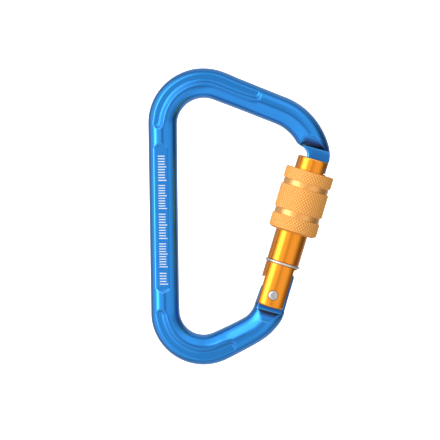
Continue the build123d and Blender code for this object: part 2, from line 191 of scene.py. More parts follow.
def along_bar(x, z):
    """Offset outwards from the centreline, and arc length along it."""
    nearest = np.full(x.shape, 1e9)
    offset, arc = np.zeros(x.shape), np.zeros(x.shape)
    for (kind, *shape), joint in zip(CENTRELINE, JOINTS):
        if kind == "line":
            start, end = shape
            length = piece_length(kind, *shape)
            dir_x, dir_z = (end - start) / length
            run = (x - start[0]) * dir_x + (z - start[1]) * dir_z
            out = (x - start[0]) * (-dir_z) + (z - start[1]) * dir_x
            distance = np.hypot(out, np.maximum(np.maximum(-run, run - length), 0))
            here = np.clip(run, 0, length)
        else:
            centre, radius, start, end = shape
            angle = np.arctan2(z - centre[1], x - centre[0])
            turned = np.mod(start - angle, 2 * math.pi)
            out = np.hypot(x - centre[0], z - centre[1]) - radius
            distance = np.where(turned <= start - end, np.abs(out), 1e9)
            here = radius * turned
        closer = distance < nearest
        nearest = np.where(closer, distance, nearest)
        offset = np.where(closer, out, offset)
        arc = np.where(closer, joint + here, arc)
    return offset, arc


# ------------------------------------------------------------------ forged frame
# How far the bar swells past its half width, inside and outside, at stations along its length
SWELL_ARC = (
    12, 18, 21, 24, 28, 32, 36, 40, 44, 52, 56, 60, 64, 68, 72, 84, 116, 128, 136, 140, 144, 148,
    154, 158, 162, 168, 172, 178, 188, 196, 204, 212, 230)
SWELL_IN = (
    0.3, 0.6, 0.65, 0.65, 0.5, 0.32, 0.32, 0.45, 0.62, 0.70, 0.66, 0.60, 0.48, 0.30, 0.10, 0.06,
    0.10, 0.20, 0.26, 0.32, 0.48, 0.63, 0.76, 0.77, 0.70, 0.60, 0.50, 0.42, 0.36, 0.37, 0.40,
    0.35, 0.0)
SWELL_OUT = (
    0.3, 0.5, 0.45, 0.0, -0.22, 0.0, 0.10, 0.18, 0.12, 0.03, 0.0, -0.03, -0.04, 0.0, 0.0, 0.0,
    0.0, 0.0, 0.0, 0.0, 0.0, -0.04, -0.12, -0.08, -0.12, -0.06, -0.18, -0.2, -0.2, -0.16, -0.16,
    -0.03, 0.0)

# Corner reliefs, as arc length from and to: round the bottom bend, and from the top bend
# on to the top bar
LOW_RELIEF = (JOINTS[3] - 4.2, JOINTS[4] + 0.2)
TOP_RELIEF = (JOINTS[5] - 0.5, JOINTS[6] + 14.4)

# Outlines cut away in the gate frame: (side, rise)
TANG_CUT = [
    (-12, 36), (-12, 1.0), (-5.3, 1.0), (-5.3, 1.8), (-4.75, 2.3), (-0.72, 2.3), (-0.62, 4.7),
    (3.3, 8.5), (4.7, 8.75), (5.35, 8.45), (5.75, 7.7), (12, 7.7), (12, 36)]
NECK_CUT = [
    (-12, 53.85), (-6.4, 53.85), (-5.2, 53.65), (-4.35, 53.25), (-3.6, 52.6), (-3.0, 51.9),
    (-2.75, 51.2), (-2.70, 50.4), (-2.70, 34), (-12, 34)]
SHOULDER_SIDE, SHOULDER_RISE, SHOULDER_R = 5.50, 51.3, 14.8
shoulder = [(SHOULDER_SIDE - SHOULDER_R * (1 - math.cos(math.radians(degrees))),
             SHOULDER_RISE + SHOULDER_R * math.sin(math.radians(degrees)))
            for degrees in range(0, 41, 4)]
SHOULDER_CUT = [(SHOULDER_SIDE, 40)] + shoulder + [(14, shoulder[-1][1] + 3), (14, 40)]

# Scooped ramps from the flats up to the bar: side, then the tang ramp's length
TANG_RAMP = (-4.4, -3.5, -2.0, 0.4, 2.6, 3.6, 4.5), (0.25, 2.3, 3.9, 3.9, 3.2, 2.2, 0.25)
# and side, then the rise where the nose ramp ends
NOSE_LIP = ((-7.6, -7.0, -6.2, -4.3, -2.5, -1.0, 0.5, 2.0, 2.9, 3.6, 4.4),
            (54.7, 55.8, 58.5, 58.75, 58.6, 58.3, 57.8, 57.0, 56.3, 55.6, 54.9))


def stadium(offset, arc, span, inner, outer, rounding):
    """Distance to a rounded, slightly bowed strip along the bar."""
    middle, half = (span[0] + span[1]) / 2, (span[1] - span[0]) / 2
    bow = np.minimum(np.clip(1 - ((arc - middle) / half) ** 2, 0, 1) * 2.0, 1.0)
    inner = inner - 0.40 * bow
    outer = outer + 0.15 * bow
    centre, half_width = (inner + outer) / 2, (outer - inner) / 2
    radius = half_width * rounding
    across = np.abs(offset - centre) - (half_width - radius)
    along = np.abs(arc - middle) - (half - radius)
    corner = np.hypot(np.maximum(across, 0), np.maximum(along, 0))
    return corner + np.minimum(np.maximum(across, along), 0) - radius


def relief(offset, arc):
    """Distance to the sunk floors of the reliefs, and the crest's shift towards the inside."""
    shift = 1.5 * sum(step(np.maximum(start - arc, arc - end), 1.5, -3.0)
                      for start, end in (LOW_RELIEF, TOP_RELIEF))
    top = stadium(offset, arc, TOP_RELIEF, inner=1.17, outer=3.45, rounding=0.85)
    low = stadium(offset, arc, LOW_RELIEF, inner=1.10, outer=3.60, rounding=0.45)
    return np.minimum(top, low), shift


def past_flat(offset, z):
    """How far a point lies past the curved ends of the spine's sunk flat."""
    return np.abs(z - 0.05) - (25.9 - 1.0 * ((offset - 0.55) / 2.6) ** 2)


def scoop_lift(run, height):
    """Rise of a scooped ramp's face; beyond its end the cut stops."""
    return height * (1 - (1 - run) ** 1.8) + 9.0 * (run >= 1)


def tongue_half(rise, clearance=0.0):
    """Half thickness of the nose tongue, flaring below TONGUE_FLARE_RISE."""
    thin = TONGUE_HALF + clearance
    flare = (TONGUE_FLARE_RISE + clearance - rise) * 0.875
    return np.clip(thin + flare, thin, TONGUE_ROOT_HALF + clearance)


def bar_section(y, offset, arc, shift):
    """Short roof facet rounding into the outer side; long facet and tight edge inside."""
    crest = -shift
    swell = np.where(offset < 0, np.interp(arc, SWELL_ARC, SWELL_IN),
                     np.interp(arc, SWELL_ARC, SWELL_OUT))
    width = offset * (HALF_WIDTH / (HALF_WIDTH + swell))
    outer = (width - crest) * 0.139 + (y - HALF_DEPTH) * 0.990
    fall, reach = HALF_DEPTH - 4.20, crest + 3.3 + 0.25 * shift
    inner = (-(width - crest) * fall + (y - HALF_DEPTH) * reach) / np.hypot(fall, reach)
    solid = smooth_max(outer, inner, blend=0.40)
    power = 2.06
    oval = (np.maximum(width - crest, 0) / (HALF_WIDTH - crest)) ** power
    oval = ((oval + (y / HALF_DEPTH) ** power + 1e-9) ** (1 / power) - 1) * 5.0
    solid = smooth_max(solid, oval, blend=0.35)
    solid = smooth_max(solid, -width * 0.7527 + y * 0.6584 - 5.249, blend=1.5)
    return smooth_max(solid, -width - HALF_WIDTH, blend=1.9)


def cut_faces(solid, x, y, z, offset, arc, near):
    """The flat sunk in the spine, then the ledges and floors of the corner reliefs."""
    flat_y, ledge_y, floor_y = 4.36, 4.36, 3.98
    off_spine = np.where(x > -5, 9.0, 0.0)
    end_slope = 0.95 * np.maximum(past_flat(offset, z), 0.0)
    flat = y - (flat_y - 0.045 * offset + end_slope + off_spine)
    solid = smooth_max(solid, flat, blend=0.26)
    ledge = np.maximum((near - 0.76 - (y - ledge_y) * 1.15) * 0.65, ledge_y - y)
    solid = smooth_max(solid, -ledge, blend=0.05)
    drop = floor_y - 0.03 * (offset - 1.5)
    steep = 0.80 - 0.50 * step(arc, TOP_RELIEF[1] - 3.0, TOP_RELIEF[1] - 1.0)
    floor = np.maximum((near - (y - drop) * steep) * 0.76, drop - y)
    return smooth_max(solid, -floor, blend=0.12)


def cut_tang(solid, x, y, z, side, rise):
    """Hinge tang: flats with scooped ramps, profile, side face and rivet hole."""
    run = np.clip((-6.0 + 0.03 * side - rise) / np.interp(side, *TANG_RAMP), 0, 1)
    flats = (y - TANG_HALF - scoop_lift(run, height=1.80)) * np.where(run > 0, 0.66, 1.0)
    solid = smooth_max(solid, within((x > 5) & (z < 0), flats), blend=0.24)
    profile = -polygon_distance(side, rise, TANG_CUT)
    solid = smooth_max(solid, within(z < 0, profile), blend=0.45)
    solid = smooth_max(solid, within((z < 0) & (rise > -5.0), side - 5.72), blend=0.5)
    return np.maximum(solid, within(z < 0, RIVET_HOLE_R - np.hypot(side, rise)))


def cut_nose(solid, x, y, z, side, rise):
    """Nose: flats with scooped ramps, neck, shoulder, rounded end and turned stem."""
    start = 54.45 + 0.04 * side
    run = np.clip((rise - start) / (np.interp(side, *NOSE_LIP) - start), 0, 1)
    flatten = np.where(run > 0, 0.62, np.where(rise < TONGUE_FLARE_RISE, 0.75, 1.0))
    tongue = (y - tongue_half(rise) - scoop_lift(run, height=2.48)) * flatten
    nose = (x > 20) & (z > -5)
    for tool, blend in (
        (tongue, 0.24),
        (-polygon_distance(side, rise, NECK_CUT), 0.85),
        (-polygon_distance(side, rise, SHOULDER_CUT), 0.9),
        (46.85 - np.hypot(side, rise), 0.4),
    ):
        solid = smooth_max(solid, within(nose, tool), blend)
    stem = np.hypot(side, y) - (5.50 + 0.8 * np.maximum(rise - 51.1, 0))
    return smooth_max(solid, within(nose & (rise < 53.2), stem), blend=0.3)


def body_distance(x, y, z):
    y = np.abs(y)                       # both faces are alike
    offset, arc = along_bar(x, z)
    side, rise = to_gate_frame(x, z)
    near, shift = relief(offset, arc)
    solid = bar_section(y, offset, arc, shift)
    solid = cut_faces(solid, x, y, z, offset, arc, near)
    solid = cut_tang(solid, x, y, z, side, rise)
    return cut_nose(solid, x, y, z, side, rise)


# ------------------------------------------------------------------ gate
def thread_ridge(rise, angle, start, root, crest):
    """0 between ridges, 1 on the crest; root and crest are a ridge's widths."""
    phase = rise - start - THREAD_PITCH * angle / (2 * math.pi)
    distance = np.abs(np.mod(phase + THREAD_PITCH / 2, THREAD_PITCH) - THREAD_PITCH / 2)
    return np.clip((root / 2 - distance) / ((root - crest) / 2), 0, 1)


def gate_distance(side, y, rise):
    radius = np.hypot(side, y)
    angle = np.arctan2(y, side)
    y = np.abs(y)
    threaded = step(rise, 23.6, 24.6) * (1 - step(rise, 35.6, 36.6))
    ridge = thread_ridge(rise, angle, THREAD_START, root=1.16, crest=0.5)
    solid = (radius - (5.84 + 0.56 * threaded * ridge)) * np.where(threaded > 0, 0.75, 1.0)
    solid = smooth_max(solid, rise - 50.8, blend=0.8)
    solid = smooth_max(solid, -4.5 - rise, blend=1.15)
    # slot round the tang, under a sloping roof
    roof_slope = (10.95 - 5.4) / 11.2
    slot = np.maximum(y - 3.30, (rise - 5.4 - (side + 5.4) * roof_slope) * 0.9)
    solid = smooth_max(solid, -slot, blend=0.35)
    # key slot round the nose tongue
    key = np.maximum(y - tongue_half(rise, KEY_CLEARANCE), -2.8 - side)
    solid = smooth_max(solid, -np.maximum(key, 46.35 - rise), blend=0.30)
    bore = np.maximum(np.hypot(side - BORE_SIDE, y) - BORE_R, rise - BORE_END)
    solid = np.maximum(solid, -bore)
    groove = np.maximum(5.25 - radius, np.abs(rise - STOP_RING_RISE) - 0.52)
    solid = smooth_max(solid, -groove, blend=0.12)
    # seats for the rivet heads, then the rivet hole
    from_hinge = np.hypot(side, rise)
    solid = smooth_max(solid, -np.maximum(from_hinge - 1.80, 5.2 - y), blend=0.15)
    return np.maximum(solid, -(from_hinge - 1.61))


# ------------------------------------------------------------------ mesh helpers
def outward(points, quads):
    """Flip the winding if the closed mesh's volume is negative."""
    a, b, c, d = (points[quads[:, i]] for i in range(4))
    volume = (np.einsum("ij,ij->i", a, np.cross(b, c))
              + np.einsum("ij,ij->i", a, np.cross(c, d))).sum()
    return quads if volume > 0 else quads[:, ::-1]


def mesh_from(field, low, high, cell, mirror=False):
    """Points, quads and gradients on the zero level of a distance field."""
    low, high = np.array(low, float), np.array(high, float)
    counts = np.ceil((high - low) / cell).astype(int) + 1
    xs, ys, zs = (low[i] + cell * np.arange(counts[i]) for i in range(3))
    if mirror:
        ys = cell * np.arange(int(math.ceil(high[1] / cell)) + 1)
    samples = np.empty((len(xs), len(ys), len(zs)), np.float32)
    slab = 48                           # x layers sampled at once, to limit memory
    for i in range(0, len(xs), slab):
        x = xs[i:i + slab, None, None]
        samples[i:i + slab] = field(x + 0 * zs, ys[None, :, None], zs + 0 * x)
    first_y = ys[0]
    if mirror:
        samples = np.concatenate([samples[:, :0:-1, :], samples], axis=1)
        first_y = -ys[-1]
    reach = 3 * cell
    grid = openvdb.FloatGrid(reach)
    grid.copyFromArray(np.clip(samples, -reach, reach).astype(np.float32))
    points, quads = grid.convertToQuads(isovalue=0.0)
    points = np.array(points, float) * cell + np.array([xs[0], first_y, zs[0]])
    probe = 0.02
    for _ in range(3):                  # pull each vertex onto the exact surface
        value = field(*points.T)
        gradient = np.stack([(field(*(points + d).T) - field(*(points - d).T)) / (2 * probe)
                             for d in np.eye(3) * probe], 1)
        steepness = np.maximum((gradient * gradient).sum(1), 0.25)
        move = -(value / steepness)[:, None] * gradient
        points = points + np.clip(move, -0.5 * cell, 0.5 * cell)
    return points, outward(points, np.array(quads, int)), gradient


def add_mesh(name, points, faces, recalculate=False):
    """Link a smooth object built from points in mm, if asked with its normals turned outwards."""
    mesh = bpy.data.meshes.new(name)
    mesh.from_pydata((np.array(points, float) * MM).tolist(), [], faces)
    if not recalculate:
        mesh.validate()
    mesh.update()
    if recalculate:
        work = bmesh.new()
        work.from_mesh(mesh)
        bmesh.ops.recalc_face_normals(work, faces=work.faces)
        work.to_mesh(mesh)
        work.free()
    ob = bpy.data.objects.new(name, mesh)
    bpy.context.scene.collection.objects.link(ob)
    mesh.shade_smooth()
    return ob


def store(ob, **fields):
    """Save point attributes for the materials."""
    for name, values in fields.items():
        attribute = ob.data.attributes.new(name, "FLOAT", "POINT")
        attribute.data.foreach_set("value", np.asarray(values, np.float32))


def bridge(rings):
    """Faces joining consecutive rings of vertex numbers; a ring of one vertex gets a fan."""
    faces = []
    for a, b in zip(rings, rings[1:]):
        count = max(len(a), len(b))
        for k in range(count):
            after = (k + 1) % count
            if len(a) == 1:
                faces.append((a[0], b[after], b[k]))
            elif len(b) == 1:
                faces.append((a[k], a[after], b[0]))
            else:
                faces.append((a[k], a[after], b[after], b[k]))
    return faces


def lathe(name, profile, segments, place):
    """Profile of (radius, height) revolved about the local z axis, then placed in the world."""
    angles = np.arange(segments) * 2 * math.pi / segments
    points, rings = [], []
    for radius, height in profile:
        first = len(points)
        if radius < 1e-6:
            points.append((0.0, 0.0, height))
        else:
            points += [(radius * math.cos(a), radius * math.sin(a), height) for a in angles]
        rings.append(range(first, len(points)))
    return add_mesh(name, place(np.array(points, float)), bridge(rings), recalculate=True)


def tube(name, path, radius, segments):
    """A round wire along points in the gate frame, with slightly thinner capped ends."""
    tangent = np.gradient(path, axis=0)
    tangent /= np.linalg.norm(tangent, axis=1)[:, None]
    normal = np.cross(tangent, np.array([0.0, 0.0, 1.0]))
    normal /= np.linalg.norm(normal, axis=1)[:, None]
    binormal = np.cross(tangent, normal)
    angles = np.arange(segments) * 2 * math.pi / segments
    radii = np.full(len(path), radius)
    radii[0] = radii[-1] = radius * 0.82
    spokes = (np.cos(angles)[None, :, None] * normal[:, None, :]
              + np.sin(angles)[None, :, None] * binormal[:, None, :])
    points = (path[:, None, :] + radii[:, None, None] * spokes).reshape(-1, 3)
    rings = [range(i * segments, (i + 1) * segments) for i in range(len(path))]
    faces = bridge(rings) + [tuple(rings[0][::-1]), tuple(rings[-1])]
    return add_mesh(name, gate_to_world(points), faces, recalculate=True)


# ------------------------------------------------------------------ pieces
def store_body_masks(body, points, gradient):
    """Bar coordinates, plus masks for painted shade in the hollows, painted highlights on the rims
    and a painted dark line along the crest.
    """
    x, y, z = points.T
    y = np.abs(y)
    offset, arc = along_bar(x, z)
    side, rise = to_gate_frame(x, z)
    near, shift = relief(offset, arc)
    heel, nose = (z < 0) & (x > 5), (z > 0) & (x > 5)
    facing = np.abs(gradient[:, 1] / np.maximum(np.linalg.norm(gradient, axis=1), 1e-6))
    turned = step(facing, 0.985, 0.93)

    # painted shade: the scooped ramps are darkened in colour
    def scoop(deep, reach, fade, flat):
        fading = peak(np.maximum(deep, reach), reach, fade)
        return step(deep, 0.0, 0.2) * fading * step(y, flat, flat + 0.2) * turned

    heel_scoop = scoop(-rise - 5.95, reach=1.2, fade=1.0, flat=TANG_HALF) * heel
    heel_scoop *= step(side, -4.4, -1.6) * (1 - step(side, 2.7, 4.0))
    nose_scoop = scoop(rise - 54.45, reach=1.5, fade=1.9, flat=TONGUE_HALF) * nose
    nose_scoop *= step(side, -7.2, -4.6) * (1 - step(side, 3.3, 4.3)) * (rise < 59.0)
    # painted shade where the gate's ends overhang the tang and the tongue
    heel_shade = (1 - step(-rise, 4.9, 5.9)) * (rise < -4.2) * heel * step(y, 3.4, 3.2)
    nose_shade = (rise > 50.0) * (1 - step(rise, 52.6, 54.3)) * nose
    nose_shade = nose_shade * step(y, 2.8, 2.6) * step(side, -2.6, -0.5)
    recess = heel_scoop + nose_scoop + 0.75 * heel_shade + 0.45 * nose_shade

    lip = np.interp(side, *NOSE_LIP)
    neck = polygon_distance(side, rise, NECK_CUT)
    # painted highlights: lighter colour along the rims of the ramps, the spine flat's ends and the
    # neck
    rim = sum((
        # starts of the tang and nose ramps
        peak(rise, -5.98, 0.20) * heel * (np.abs(side) < 4.6) * (y < 3.5),
        peak(rise, 54.42, 0.20) * nose * step(side, -6.0, -3.0) * (y < 2.85),
        # ends of the spine flat, the lower one brighter
        peak(past_flat(offset, z), 0.50, 0.32) * (np.abs(offset - 0.55) < 2.3)
        * (y > 4.2) * (x < -5) * np.where(z < 0, 0.95, 0.35),
        # far ends of the nose and tang ramps
        0.55 * peak(rise - lip, 0.10, 0.26) * nose * (y > 3.0)
        * step(side, -4.6, -3.0) * (1 - step(side, 2.6, 3.6)),
        0.70 * peak(rise, -9.85, 0.30) * heel * (y > 3.6)
        * step(side, -3.4, -2.0) * (1 - step(side, 0.8, 2.4)),
        # neck
        0.8 * peak(neck, 0.25, 0.32) * nose * (y > 1.5) * (y < 2.52) * (rise < 54.0),
    ))
    # painted shade: a dark line along the crest where the two facets meet
    free = step(arc, 30.0, 34.0) * (1 - step(arc, 196.0, 206.0)) * step(y, 4.7, 4.95)
    store(body, u=offset, s=arc, recess=np.clip(recess, 0, 1), rim=np.clip(rim, 0, 1),
          near=np.where((offset < 2.4) & (y > 3.8), near, 9.0),
          crest=free * peak(offset + shift, -0.12, 0.30))


def build_body():
    points, quads, gradient = mesh_from(
        body_distance, (-20.4, -5.6, -53.4), (46.6, 5.6, 54.4), 0.22 * COARSE, mirror=True)
    body = add_mesh("forged_body", points, quads.tolist())
    store_body_masks(body, points, gradient)
    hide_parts("frame_body")
    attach(body, "frame")
    return body


def build_gate():
    points, quads, _ = mesh_from(
        gate_distance, (-6.9, -6.9, -5.1), (6.9, 6.9, 51.4), 0.18 * COARSE)
    gate = add_mesh("turned_gate", gate_to_world(points), quads.tolist())
    side, y, rise = points.T
    store(gate, gs=rise, gr=np.hypot(side, y), gphi=np.arctan2(y, side))
    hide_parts("gate")
    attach(gate, "gate")
    return gate


def sleeve_mesh():
    """Lock sleeve in the gate frame: diamond knurl outside, thread in the lower bore."""
    count = KNURL_LOBES * KNURL_STEPS
    angles = np.arange(count) * 2 * math.pi / count
    rows = []                                     # (radii, rise)

    def smooth(radius, rise):
        rows.append((np.full(count, radius), rise))

    def knurl_sink(rise):
        """Depth below the tips of pyramids between two crossing families of V grooves."""
        lobe, climb = KNURL_LOBES * angles / (2 * math.pi), rise / KNURL_PITCH
        right, left = (np.abs(2 * np.mod(lobe + lean, 1.0) - 1) for lean in (climb, -climb))
        return KNURL_DEPTH * (1 - np.minimum(1.0, 1.18 * (1 - np.maximum(right, left))))

    def knurled(start, end, ease=0.18):
        """A knurled band with its two ends chamfered by ease."""
        pace = KNURL_PITCH / KNURL_STEPS
        first, last = math.ceil(start / pace - 1e-6), math.floor(end / pace + 1e-6)
        inner = [k * pace for k in range(first, last + 1)
                 if start + 0.03 < k * pace < end - 0.03]
        for rise in [start] + inner + [end]:
            chamfer = max(0.0, start + ease - rise, rise - end + ease)
            rows.append((np.minimum(KNURL_TIP_R - knurl_sink(rise), KNURL_TIP_R - chamfer), rise))

    # outside, from the bottom face up
    smooth(SLEEVE_BORE_R, SLEEVE_FOOT)
    smooth(7.35, SLEEVE_FOOT)
    for part in np.linspace(0, 1, 7):
        rise = SLEEVE_FOOT + 0.08 + 1.07 * part
        radius = 7.62 + (8.88 - 7.62) * math.sin(part * math.pi / 2) ** 0.9
        rows.append((np.minimum(radius, KNURL_TIP_R - knurl_sink(rise) * part), rise))
    for start, end in KNURL_BANDS:
        knurled(start, end)
        if end == KNURL_BANDS[-1][1]:
            break
        # plain groove above the band: radius, height over the band's end
        for radius, height in (
            (KNURL_FOOT_R, 0.02), (8.35, 0.05), (8.30, 0.12), (8.30, 0.7), (8.30, 1.5),
            (8.30, 2.08), (8.35, 2.15), (KNURL_FOOT_R, 2.18),
        ):
            smooth(radius, end + height)
    smooth(8.58, 45.93)
    smooth(8.42, SLEEVE_TOP)
    smooth(6.95, SLEEVE_TOP)
    smooth(6.80, SLEEVE_TOP - 0.06)
    smooth(SLEEVE_BORE_R, SLEEVE_TOP - 0.2)
    # inside, back down
    for rise in (44.0, 42.0, 40.0, 38.5, 37.5):
        smooth(SLEEVE_BORE_R, rise)
    root_r = 6.62
    smooth(root_r, 37.35)
    for rise in np.arange(37.25, SLEEVE_FOOT + 0.3, -0.125):
        threaded = step(rise, SLEEVE_FOOT + 0.2, SLEEVE_FOOT + 1.2) * (1 - step(rise, 36.3, 37.3))
        # half a pitch off the gate's thread, so ridges meet gaps
        ridge = thread_ridge(rise, angles, THREAD_START + THREAD_PITCH / 2, root=1.26, crest=0.5)
        rows.append((root_r - 0.70 * threaded * ridge, float(rise)))
    smooth(6.64, SLEEVE_FOOT + 0.15)

    radii = np.array([row[0] for row in rows])
    rises = np.array([row[1] for row in rows])
    points = np.stack([radii * np.cos(angles), radii * np.sin(angles),
                       np.repeat(rises[:, None], count, 1)], 2).reshape(-1, 3)
    i, j = np.meshgrid(np.arange(len(rows)), np.arange(count), indexing="ij")
    this_row, next_row = i * count, (i + 1) % len(rows) * count
    k = (j + 1) % count
    quads = np.stack([this_row + j, this_row + k, next_row + k, next_row + j], 2).reshape(-1, 4)
    return points, outward(points, quads)


def build_sleeve():
    points, quads = sleeve_mesh()
    sleeve = add_mesh("knurled_sleeve", gate_to_world(points), quads.tolist())
    radius, rise = np.hypot(points[:, 0], points[:, 1]), points[:, 2]
    in_groove = sum(np.abs(rise - (end + GROOVE_WIDTH / 2)) < 1.12 for _, end in KNURL_BANDS[:-1])
    in_groove = (in_groove > 0) & (radius > 7.5) & (radius < 8.45)
    store(sleeve, gs=rise, gr=radius, polish=in_groove.astype(float),
          tip=np.clip((radius - KNURL_FOOT_R) / KNURL_DEPTH, 0, 1))
    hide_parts("lock_sleeve")
    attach(sleeve, "sleeve")
    return sleeve


def build_rivet():
    """Rivet along Y through the hinge, with domed, shallowly dimpled heads."""
    head = [(1.60, 5.22), (1.74, 5.26), (1.77, 5.45)]
    head += [(1.77 * math.cos(angle * 0.86), 5.45 + 0.58 * math.sin(angle))
             for angle in np.linspace(0, math.pi / 2, 9)[1:-1]]
    head += [(0.45, 5.985), (0.0, 5.95)]
    profile = [(radius, -height) for radius, height in head[::-1]] + head
    rivet = lathe("hinge_rivet_steel", profile, 64,
                  lambda points: gate_to_world(points[:, [0, 2, 1]]))
    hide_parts("hinge_rivet")
    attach(rivet, "gate")
    return rivet


def build_stop_ring():
    """Open wire ring in the gate's groove, its gap towards +Y."""
    half_gap, radius, count = math.radians(7), 5.98, 161
    angles = np.linspace(math.pi / 2 + half_gap, math.pi / 2 + 2 * math.pi - half_gap, count)
    path = np.stack([radius * np.cos(angles), radius * np.sin(angles),
                     np.full(count, STOP_RING_RISE)], 1)
    ring = tube("stop_ring_wire", path, radius=0.45, segments=20)
    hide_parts("stop_ring")
    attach(ring, "ring")
    return ring


def build_plunger():
    """Round-nosed pin in the gate's bore, with a thinner stem for the spring."""
    stem_r = 0.95
    profile = [(0.0, PLUNGER_FOOT)]
    profile += [(PLUNGER_R * math.sin(angle), PLUNGER_FOOT + PLUNGER_R * (1 - math.cos(angle)))
                for angle in np.linspace(0, math.pi / 2, 14)[1:]]
    profile += [
        (PLUNGER_R, 7.0), (PLUNGER_R, PLUNGER_TOP - 0.12), (1.58, PLUNGER_TOP),
        (stem_r, PLUNGER_TOP), (stem_r, PLUNGER_TOP + 2.85), (0.80, PLUNGER_TOP + 3.0),
        (0.0, PLUNGER_TOP + 3.0)]
    plunger = lathe("spring_plunger_steel", profile, 48,
                    lambda points: gate_to_world(points + np.array([BORE_SIDE, 0, 0])))
    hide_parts("spring_plunger")
    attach(plunger, "plunger")
    return plunger


def build_spring():
    """Coil between the plunger's shoulder and the end of the bore."""
    turns, steps_per_turn, radius, inset = 15, 28, 1.35, 0.30
    low, high = PLUNGER_TOP + inset, BORE_END - inset
    part = np.linspace(0, 1, turns * steps_per_turn + 1)
    angles = part * 2 * turns * math.pi
    path = np.stack([BORE_SIDE + radius * np.cos(angles), radius * np.sin(angles),
                     low + (high - low) * part], 1)
    spring = tube("return_spring", path, radius=0.27, segments=10)
    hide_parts("gate_spring")
    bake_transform(spring)
    return spring


body = build_body()
gate = build_gate()
sleeve = build_sleeve()
rivet = build_rivet()
ring = build_stop_ring()
plunger = build_plunger()
spring = build_spring()


# ------------------------------------------------------------------ material helpers
class Material:
    """A Principled material; each helper adds nodes and returns their output socket."""

    def __init__(self, name):
        self.material = bpy.data.materials.new(name)
        self.material.use_nodes = True
        self.tree = self.material.node_tree
        self.shader = self.tree.nodes["Principled BSDF"]

    def put(self, socket, value):
        if isinstance(value, bpy.types.NodeSocket):
            self.tree.links.new(value, socket)
        else:
            socket.default_value = value

    def node(self, kind, inputs=None, **settings):
        node = self.tree.nodes.new(kind)
        for key, value in settings.items():
            setattr(node, key, value)
        for key, value in (inputs or {}).items():
            self.put(node.inputs[key], value)
        return node

    def finish(self, inputs):
        """Set the Principled inputs and return the material."""
        for key, value in inputs.items():
            self.put(self.shader.inputs[key], value)
        return self.material

    def math(self, operation, a, b=0.0, clamp=False):
        return self.node("ShaderNodeMath", {0: a, 1: b, 2: 0.0},
                         operation=operation, use_clamp=clamp).outputs[0]

    def times(self, a, b):
        return self.math("MULTIPLY", a, b)

    def lift(self, level, mask, share):
        """level + mask * share"""
        return self.math("ADD", level, self.times(mask, share))

    def attribute(self, name):
        return self.node("ShaderNodeAttribute", attribute_name=name).outputs["Fac"]

    @cached_property
    def coords(self):
        return self.node("ShaderNodeTexCoord").outputs["Object"]

    def noise(self, scale, detail, rough, vector=None, distortion=0.0):
        return self.node("ShaderNodeTexNoise", {
            "Scale": scale, "Detail": detail, "Roughness": rough, "Distortion": distortion,
            "Vector": self.coords if vector is None else vector}).outputs["Fac"]

    def mix(self, mask, base, colour):
        base, colour = (c if isinstance(c, bpy.types.NodeSocket) else (*c, 1.0)
                        for c in (base, colour))
        return self.node("ShaderNodeMix", {0: mask, 6: base, 7: colour},
                         data_type="RGBA", blend_type="MIX").outputs[2]

    def tint(self, base, mask, share, colour):
        return self.mix(self.times(mask, share), base, colour)

    def bump(self, height, strength, distance, **normal):
        return self.node("ShaderNodeBump", {
            "Strength": strength, "Distance": distance, "Height": height,
            **{key.title(): value for key, value in normal.items()}}).outputs[0]

    def ramp(self, value, low, high):
        """Smooth 0 to 1 from low to high."""
        return self.node("ShaderNodeMapRange", {
            "Value": value, "From Min": low, "From Max": high},
            interpolation_type="SMOOTHSTEP").outputs[0]

    def band(self, value, low, high, soft):
        return self.times(self.ramp(value, low - soft, low + soft),
                          self.ramp(value, high + soft, high - soft))

    def grazing(self, blend, low, high):
        """Mask of surfaces turning away from the view."""
        facing = self.node("ShaderNodeLayerWeight", {"Blend": blend}).outputs["Facing"]
        return self.ramp(facing, low, high)

    def worn_edges(self, radius, low, high, scale, threshold):
        """Patchy mask of sharp edges, from a bevelled normal against the true one."""
        bevel = self.node("ShaderNodeBevel", {"Radius": radius}, samples=6).outputs[0]
        normal = self.node("ShaderNodeNewGeometry").outputs["Normal"]
        dot = self.node("ShaderNodeVectorMath", {0: bevel, 1: normal}, operation="DOT_PRODUCT")
        sharp = self.ramp(self.math("SUBTRACT", 1.0, dot.outputs["Value"]), low, high)
        patches = self.noise(scale=scale, detail=4.0, rough=0.7)
        return self.times(sharp, self.math("GREATER_THAN", patches, threshold))


# ------------------------------------------------------------------ materials
# Etched groups of ticks on the spine's front flat, in metres: z from, z to, tick pitch
ETCH_GROUPS = (
    (0.0130, 0.0226, 0.00096), (0.0030, 0.0121, 0.00091), (-0.0077, 0.0019, 0.00096),
    (-0.0178, -0.0087, 0.00091), (-0.0240, -0.0192, 0.00096))
TICK_SHARE = 0.36                       # of the pitch
TICK_IN, TICK_OUT = -1.25, 1.70         # bar offsets between which the long ticks run, mm
TICK_SHORTER = 0.55                     # short ticks start this much further out, mm


def etched_ticks(mat, place):
    """A ruler of plain bars: every fifth is long, the others stop short on the inner side."""
    offset, z = mat.attribute("u"), place["Z"]
    marks = None
    for low, high, pitch in ETCH_GROUPS:
        cell = mat.math("DIVIDE", mat.math("SUBTRACT", z, low), pitch)
        tick = mat.band(mat.math("FRACT", cell),
                        (1 - TICK_SHARE) / 2, (1 + TICK_SHARE) / 2, soft=0.10)
        number = mat.math("FLOOR", cell)
        cycle = mat.math("FRACT", mat.math("ADD", mat.times(number, 0.2), 0.05))
        fifth = mat.math("LESS_THAN", cycle, 0.2)
        start = mat.lift(TICK_IN, mat.math("SUBTRACT", 1.0, fifth), share=TICK_SHORTER)
        across = mat.times(mat.math("GREATER_THAN", offset, start),
                           mat.math("LESS_THAN", offset, TICK_OUT))
        group = mat.times(mat.times(tick, across), mat.band(z, low, high, soft=0.00005))
        marks = group if marks is None else mat.math("MAXIMUM", marks, group)
    on_front = mat.math("LESS_THAN", place["Y"], -0.0040)
    on_spine = mat.math("LESS_THAN", place["X"], -0.008)
    return mat.times(mat.times(marks, on_front), on_spine)


